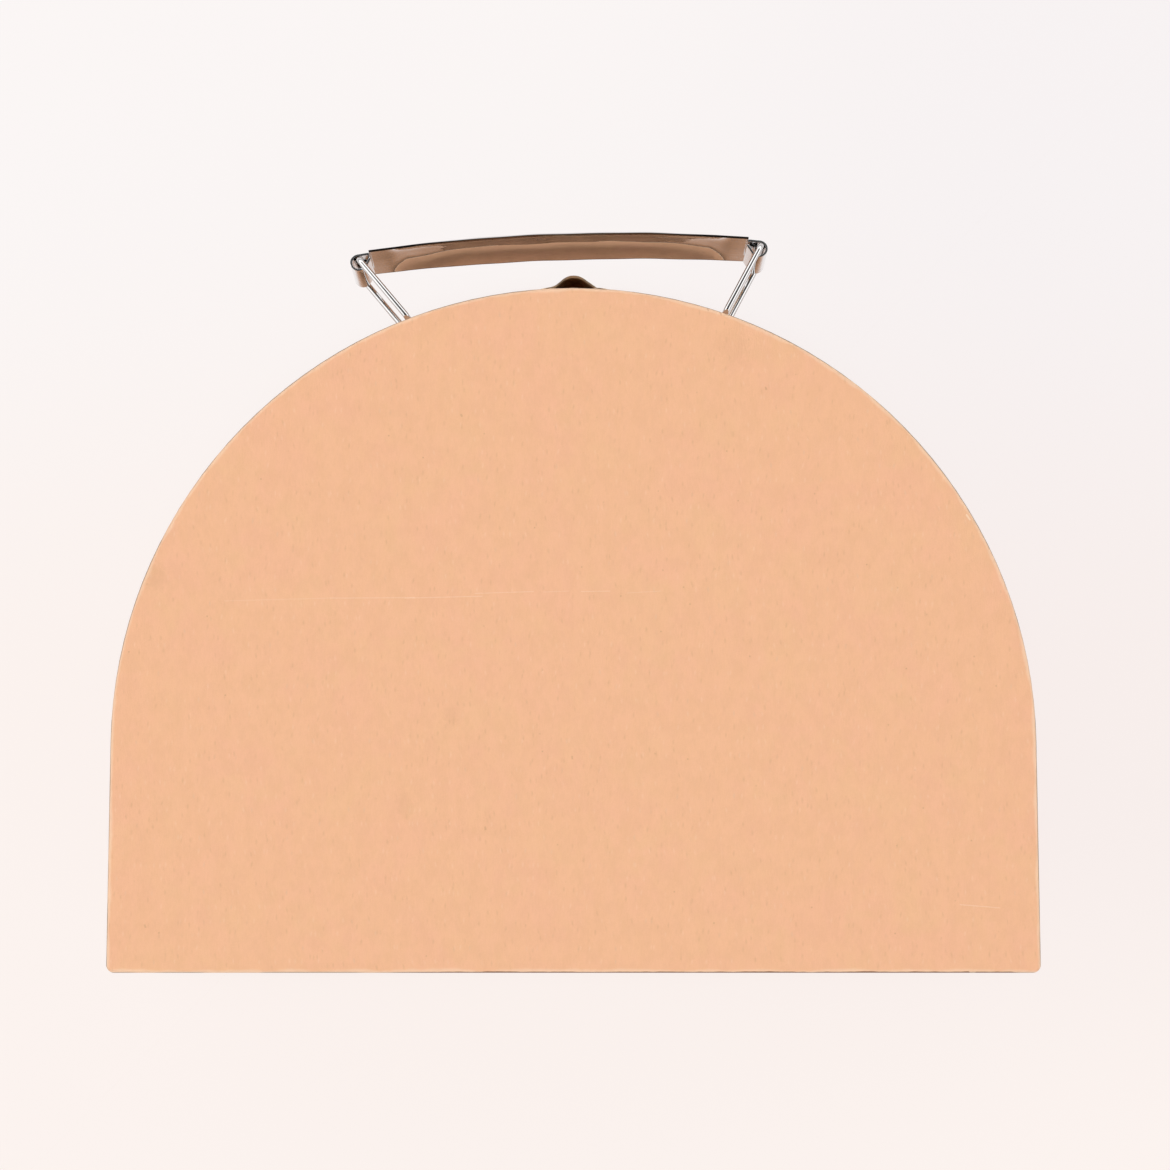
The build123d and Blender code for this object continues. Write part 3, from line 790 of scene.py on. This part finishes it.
def wire_ring(sizes):
    """A closed wire ring in its own plane: the first bar on the Y axis, the second at X = ring_length."""
    bm = bmesh.new()
    bend = sizes.ring_bend
    half = sizes.ring_width / 2
    straight_bar = sizes.ring_width - 2 * bend
    straight_leg = sizes.ring_length - 2 * bend
    circle = bmesh.ops.create_circle(bm, cap_ends=False, radius=sizes.wire / 2, segments=24)["verts"]
    turn = Matrix.Rotation(math.radians(90), 3, "X")
    bmesh.ops.rotate(bm, verts=circle, cent=(0, 0, 0), matrix=turn)
    bmesh.ops.translate(bm, verts=circle, vec=(0, -half + bend, 0))
    geometry = circle + list({edge for vert in circle for edge in vert.link_edges})
    heading = Vector((0, 1, 0))
    place = Vector((0, -half + bend, 0))
    for length in (straight_bar, straight_leg, straight_bar, straight_leg):
        edges = [item for item in geometry if isinstance(item, bmesh.types.BMEdge)]
        new = bmesh.ops.extrude_edge_only(bm, edges=edges)["geom"]
        verts = [item for item in new if isinstance(item, bmesh.types.BMVert)]
        bmesh.ops.translate(bm, verts=verts, vec=heading * length)
        place = place + heading * length
        geometry = verts + [
            edge for edge in new if isinstance(edge, bmesh.types.BMEdge)
            and edge.verts[0] in verts and edge.verts[1] in verts
        ]
        side = Vector((heading.y, -heading.x, 0))
        geometry = bmesh.ops.spin(
            bm, geom=geometry, cent=place + side * bend, axis=(0, 0, -1),
            angle=math.radians(90), steps=8, use_merge=False, use_duplicate=False,
        )["geom_last"]
        place = place + heading * bend + side * bend
        heading = side
    bmesh.ops.remove_doubles(bm, verts=bm.verts, dist=0.01 * MM)
    bmesh.ops.recalc_face_normals(bm, faces=bm.faces)
    return bm


def smooth(value, low, high):
    """A smooth step from 0 at the low limit to 1 at the high one."""
    share = min(1.0, max(0.0, (value - low) / (high - low)))
    return share * share * (3 - 2 * share)


def waves(along, across):
    """The slight waves that pressing leaves in the sheet, as a height."""
    along, across = along / MM, across / MM
    broad = 0.045 * math.sin(along / 3.9) * math.cos(across / 3.1)
    fine = 0.03 * math.sin(along / 2.1 + 1.0 + across / 2.9)
    return (broad + fine) * MM


def press(sizes, share, across):
    """Where a point of the flat blank goes when the grip is pressed hollow and its tongues are rolled."""
    half = (sizes.bar_spacing - sizes.eye_slack) / 2
    body = half - sizes.end_gap
    tongue = sizes.end_gap + sizes.eye_radius * sizes.eye_turn + sizes.eye_tip
    side = math.copysign(1.0, share)
    beyond = max(0.0, abs(share) - 1.0) * tongue
    along = abs(share) * body if abs(share) <= 1 else min(half, body + beyond)
    inside = body - along
    blend = 0.55 * smooth(inside, sizes.flat, sizes.flat + 0.25 * sizes.fade)
    blend += 0.45 * smooth(inside, sizes.flat, sizes.flat + sizes.fade)
    bulge = sizes.end_bulge + (sizes.bulge - sizes.end_bulge) * blend
    offset = 2 * across / sizes.width
    crown = 1 - abs(offset) ** sizes.squareness
    flat = smooth(along - body, 0, sizes.end_gap)
    lean = sizes.lean * offset * (1 - offset**2)
    hollow = bulge * crown * (1 - flat) + blend * (waves(along * side, across) - lean)
    arch = sizes.rise * (1 - (along / half) ** 2)
    rolled = max(0.0, beyond - sizes.end_gap)
    turn = min(rolled / sizes.eye_radius, sizes.eye_turn)
    tip = max(0.0, rolled - sizes.eye_radius * sizes.eye_turn)
    x = along + sizes.eye_radius * math.sin(turn) + tip * math.cos(turn)
    y = sizes.eye_radius * math.cos(turn) - tip * math.sin(turn) + arch + hollow
    y -= sizes.twist * (along / half) ** 2 * (1 + offset) / 2
    return Vector((side * x, y, across))


def spread_across(sizes, place):
    """Moves the blank's rows towards its rims, where it bends most, with one row on the tongue's edge."""
    edge = math.asin(sizes.eye_width / sizes.width)
    share = abs(place) * BODY_ROWS
    if share <= TONGUE_ROWS:
        angle = edge * share / TONGUE_ROWS
    else:
        angle = edge + (math.pi / 2 - edge) * (share - TONGUE_ROWS) / (BODY_ROWS - TONGUE_ROWS)
    return math.copysign(math.sin(angle), place)


def pressed_grip(sizes):
    """The grip from one flat blank: cut to its outline, pressed hollow, arched and rolled at its ends."""
    bm = bmesh.new()
    columns = 2 * (BODY_COLUMNS + TONGUE_COLUMNS)
    bmesh.ops.create_grid(bm, x_segments=columns, y_segments=2 * BODY_ROWS, size=1.0)
    for vert in bm.verts:
        column = abs(vert.co.x) * columns / 2
        share = column / BODY_COLUMNS
        if share > 1:
            share = 1 + (column - BODY_COLUMNS) / TONGUE_COLUMNS
        vert.co.x = math.copysign(share, vert.co.x)
        vert.co.y = spread_across(sizes, vert.co.y) * sizes.width / 2
    spare = [
        face for face in bm.faces
        if abs(face.calc_center_median().x) > 1
        and abs(face.calc_center_median().y) > sizes.eye_width / 2
    ]
    bmesh.ops.delete(bm, geom=spare, context="FACES")
    for vert in bm.verts:
        vert.co = press(sizes, vert.co.x, vert.co.y)
    bmesh.ops.recalc_face_normals(bm, faces=bm.faces)
    middle = min(bm.faces, key=lambda face: abs(face.calc_center_median().x))
    if middle.normal.y < 0:
        bmesh.ops.reverse_faces(bm, faces=bm.faces)
    return bm


def add_modifiers(piece, thickness, edge):
    solid = piece.modifiers.new("Sheet", "SOLIDIFY")
    solid.thickness = thickness
    solid.offset = 0
    solid.use_even_offset = True
    rounding = piece.modifiers.new("Rims", "BEVEL")
    rounding.width = edge
    rounding.segments = 3
    rounding.limit_method = "ANGLE"
    rounding.angle_limit = math.radians(50)


# Operators


class SUITCASE_OT_materials(bpy.types.Operator):
    """Build the shared node groups and every material"""

    bl_idname = "suitcase.materials"
    bl_label = "Materials"

    def execute(self, context):
        scene = context.scene
        for build in (mark_group, outline_group, kraft_group, metal_wear_group):
            build()
        board = scene.suitcase_board
        for build in (face_material, wall_material, card_material, paper_material):
            build(board)
        handle = scene.suitcase_handle
        fittings = scene.suitcase_fittings
        chrome_material("polished_chrome", handle.chrome, 0.03, 0.035, handle)
        chrome_material("drawn_wire", handle.wire_tone, 0.05, 0.06)
        chrome_material("plated_steel", fittings.steel, 0.12, 0.12)
        brass_material(fittings)
        return {"FINISHED"}


class SUITCASE_OT_board(bpy.types.Operator):
    """Finish the board panels, walls and lining in kraft paper and card"""

    bl_idname = "suitcase.board"
    bl_label = "Board"

    def execute(self, context):
        for node in ("lid_panel", "base_panel"):
            self.paint(node, "kraft_face")
        for node in ("base_wall", "base_foot", "lid_wall", "lid_foot"):
            self.paint(node, "kraft_wall")
        self.paint("base_lining", "bare_card")
        return {"FINISHED"}

    def paint(self, node, material):
        slots = frame["nodes"][node].material_slots
        if not slots:
            raise RuntimeError(f"{node} has no material slot")
        for slot in slots:
            slot.material = bpy.data.materials[material]


class SUITCASE_OT_hinge(bpy.types.Operator):
    """Add the paper strip that hinges the lid along the foot"""

    bl_idname = "suitcase.hinge"
    bl_label = "Hinge paper"

    def execute(self, context):
        sizes = context.scene.suitcase_hinge
        low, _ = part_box("hinge_paper_base")
        _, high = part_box("hinge_paper_lid")
        bm = bmesh.new()
        bmesh.ops.create_grid(bm, x_segments=90, y_segments=sizes.rows, size=0.5)
        size = high - low
        thickness = size.y
        bmesh.ops.scale(bm, verts=bm.verts, vec=(size.x, size.z, 1))
        upright = Matrix.Rotation(math.radians(90), 3, "X")
        bmesh.ops.rotate(bm, verts=bm.verts, cent=(0, 0, 0), matrix=upright)
        middle = (low + high) / 2
        bmesh.ops.translate(bm, verts=bm.verts, vec=(middle.x, high.y, middle.z))
        outer = bmesh.ops.extrude_face_region(bm, geom=list(bm.faces))["geom"]
        moved = [item for item in outer if isinstance(item, bmesh.types.BMVert)]
        bmesh.ops.translate(bm, verts=moved, vec=(0, -thickness, 0))
        bmesh.ops.recalc_face_normals(bm, faces=bm.faces)
        strip = make_piece(
            bm, "hinge_strip", None, bpy.data.materials["folded_paper"],
            ["hinge_paper_base", "hinge_paper_lid"],
        )
        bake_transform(strip)
        return {"FINISHED"}


class SUITCASE_OT_handle(bpy.types.Operator):
    """Add the pressed grip and its two wire rings"""

    bl_idname = "suitcase.handle"
    bl_label = "Handle"

    def execute(self, context):
        sizes = context.scene.suitcase_handle
        axis, left, right, bar_left, bar_right = handle_pivots(sizes)
        wire = bpy.data.materials["drawn_wire"]
        for side, ground, bar in (("left", left, bar_left), ("right", right, bar_right)):
            bm = wire_ring(sizes)
            direction = (bar - ground).normalized()
            place = frame_matrix(ground, direction, direction.cross(axis))
            bmesh.ops.transform(bm, matrix=place, verts=bm.verts)
            make_piece(bm, f"wire_ring_{side}", f"{side}_ring", wire, [f"ring_{side}"])
        bm = pressed_grip(sizes)
        direction = (bar_right - bar_left).normalized()
        middle = bar_left + direction * (sizes.bar_spacing - sizes.eye_slack) / 2
        bmesh.ops.transform(bm, matrix=frame_matrix(middle, direction, axis), verts=bm.verts)
        chrome = bpy.data.materials["polished_chrome"]
        grip = make_piece(bm, "pressed_grip", "grip", chrome, ["handle_grip"])
        add_modifiers(grip, sizes.sheet, sizes.rim_edge)
        return {"FINISHED"}


class SUITCASE_OT_fittings(bpy.types.Operator):
    """Round the stamped edges of the straps, rivets and clasp and finish them"""

    bl_idname = "suitcase.fittings"
    bl_label = "Fittings"

    def execute(self, context):
        sizes = context.scene.suitcase_fittings
        steel = bpy.data.materials["plated_steel"]
        brass = bpy.data.materials["tarnished_brass"]
        for node, source in frame["nodes"].items():
            if node.startswith("bracket_"):
                softened(node, f"{node}_stamped", steel, sizes.edge)
            elif node.startswith(("clasp_", "catch_")):
                bend = hasp_bend if node == "clasp_hasp" else None
                softened(node, f"{node}_stamped", brass, sizes.edge, bend)
        return {"FINISHED"}


class SUITCASE_OT_stage(bpy.types.Operator):
    """Add the floor, the soft light and the camera"""

    bl_idname = "suitcase.stage"
    bl_label = "Stage"

    def execute(self, context):
        sizes = context.scene.suitcase_stage
        self.add_floor(sizes)
        self.add_sky(context.scene, sizes)
        self.add_light(context.scene, sizes)
        self.add_camera(context.scene, sizes)
        context.scene.view_settings.view_transform = "Standard"
        return {"FINISHED"}

    def add_floor(self, sizes):
        bm = bmesh.new()
        bmesh.ops.create_grid(bm, x_segments=1, y_segments=1, size=12.0)
        bmesh.ops.translate(bm, verts=bm.verts, vec=(0, 0, -0.1 * MM))
        mesh = bpy.data.meshes.new("floor")
        bm.to_mesh(mesh)
        bm.free()
        floor = bpy.data.objects.new("floor", mesh)
        bpy.context.scene.collection.objects.link(floor)
        material, graph, shader = new_material("floor_surface")
        shade = 1 - sizes.floor_glow
        shader.inputs["Base Color"].default_value = colour(tuple(c * shade for c in sizes.floor))
        shader.inputs["Roughness"].default_value = 0.9
        shader.inputs["Specular IOR Level"].default_value = 0.0
        # The floor glows, so it stays evenly bright; a painted shade dims it a little on the right.
        split = graph.separate(millimetres(graph))
        warm = graph.step(split["Y"], 110.0, -20.0)
        tone = graph.mix(warm, colour(sizes.floor_far), colour(sizes.floor))
        right = graph.step(split["X"], -20.0, 120.0)
        right = graph.times(right, graph.step(split["Y"], -130.0, -40.0))
        tone = graph.darken(right, tone, colour(sizes.right_shade))
        # Painted shade beside the case: where little sky reaches the floor, the camera sees the shade
        # colour. Reflections see there painted shade tinted by the case's brown, and a painted shadow in the
        # gap under the case.
        reach = {"Distance": sizes.shade_reach}
        open_sky = graph.add("ShaderNodeAmbientOcclusion", reach, samples=6).outputs["AO"]
        light_path = graph.add("ShaderNodeLightPath").outputs
        seen = graph.mix(graph.step(open_sky, 0.50, 0.72), colour(sizes.shade), tone)
        mirrored = graph.mix(graph.step(open_sky, 0.78, 0.95), colour(sizes.reflected_case), tone)
        mirrored = graph.mix(graph.step(open_sky, 0.54, 0.64), colour(sizes.reflected_gap_shadow), mirrored)
        tone = graph.mix(light_path["Is Camera Ray"], mirrored, seen)
        graph.put(shader.inputs["Emission Color"], tone)
        glow = graph.times_plus(light_path["Is Diffuse Ray"], -0.9 * sizes.floor_glow, sizes.floor_glow)
        graph.put(shader.inputs["Emission Strength"], glow)
        mesh.materials.append(material)

    def add_sky(self, scene, sizes):
        """A soft dome: bright between the horizon and the zenith, darker at both."""
        world = bpy.data.worlds.new("studio")
        scene.world = world
        world.use_nodes = True
        world.node_tree.nodes.clear()
        graph = Graph(world.node_tree)
        direction = graph.add("ShaderNodeTexCoord").outputs["Generated"]
        up = graph.separate(direction)["Z"]
        ramp = graph.add("ShaderNodeValToRGB", {"Fac": up})
        elements = ramp.color_ramp.elements
        for place, _ in SKY_STOPS[1:-1]:
            elements.new(place)
        for element, (place, level) in zip(elements, SKY_STOPS):
            element.position = place
            element.color = (level, level, level, 1)
        light = graph.add("ShaderNodeBackground", {"Color": ramp.outputs[0], "Strength": sizes.sky})
        plain = graph.add("ShaderNodeBackground", {"Color": colour(sizes.floor), "Strength": 1.0})
        seen = graph.add("ShaderNodeLightPath").outputs["Is Camera Ray"]
        both = graph.add("ShaderNodeMixShader")
        graph.put(both.inputs[0], seen)
        graph.put(both.inputs[1], light.outputs[0])
        graph.put(both.inputs[2], plain.outputs[0])
        out = graph.add("ShaderNodeOutputWorld")
        graph.put(out.inputs["Surface"], both.outputs[0])

    def add_light(self, scene, sizes):
        """One large soft light from the upper left."""
        data = bpy.data.lights.new("softbox", "AREA")
        data.shape = "RECTANGLE"
        data.size, data.size_y = sizes.softbox_size
        data.energy = sizes.softbox_power
        data.color = (1.0, 0.99, 0.97)
        lamp = bpy.data.objects.new("softbox", data)
        lamp.location = sizes.softbox_place
        lamp.rotation_euler = (-lamp.location).to_track_quat("-Z", "Y").to_euler()
        scene.collection.objects.link(lamp)

    def add_camera(self, scene, sizes):
        data = bpy.data.cameras.new("photo_camera")
        data.sensor_width = 36.0
        data.lens = data.sensor_width * (sizes.camera_height - sizes.aim[2]) / sizes.frame_width
        data.clip_start = 0.01
        data.dof.use_dof = False
        camera = bpy.data.objects.new("photo_camera", data)
        camera.location = (sizes.aim[0], sizes.aim[1], sizes.camera_height)
        scene.collection.objects.link(camera)
        scene.camera = camera


class SUITCASE_PT_sidebar(bpy.types.Panel):
    """The suitcase's sizes, colours and steps."""

    bl_label = "Kraft Suitcase Box"
    bl_idname = "SUITCASE_PT_sidebar"
    bl_space_type = "VIEW_3D"
    bl_region_type = "UI"
    bl_category = "Suitcase"

    def draw(self, context):
        layout = self.layout
        for name in STEPS:
            layout.operator(f"suitcase.{name}")
        for label in GROUPS:
            box = layout.box()
            box.label(text=label.capitalize())
            sizes = getattr(context.scene, f"suitcase_{label}")
            for key in sizes.__annotations__:
                box.prop(sizes, key)


STEPS = ("materials", "board", "hinge", "handle", "fittings", "stage")
GROUPS = {
    "board": SuitcaseBoard,
    "hinge": SuitcaseHinge,
    "handle": SuitcaseHandle,
    "fittings": SuitcaseFittings,
    "stage": SuitcaseStage,
}
OPERATORS = (
    SUITCASE_OT_materials,
    SUITCASE_OT_board,
    SUITCASE_OT_hinge,
    SUITCASE_OT_handle,
    SUITCASE_OT_fittings,
    SUITCASE_OT_stage,
    SUITCASE_PT_sidebar,
)


def register():
    for name, group in GROUPS.items():
        bpy.utils.register_class(group)
        setattr(bpy.types.Scene, f"suitcase_{name}", PointerProperty(type=group))
    for cls in OPERATORS:
        bpy.utils.register_class(cls)


def unregister():
    for cls in reversed(OPERATORS):
        bpy.utils.unregister_class(cls)
    for name, group in GROUPS.items():
        delattr(bpy.types.Scene, f"suitcase_{name}")
        bpy.utils.unregister_class(group)


def main():
    register()
    for name in STEPS:
        getattr(bpy.ops.suitcase, name)()


if __name__ == "__main__":
    main()
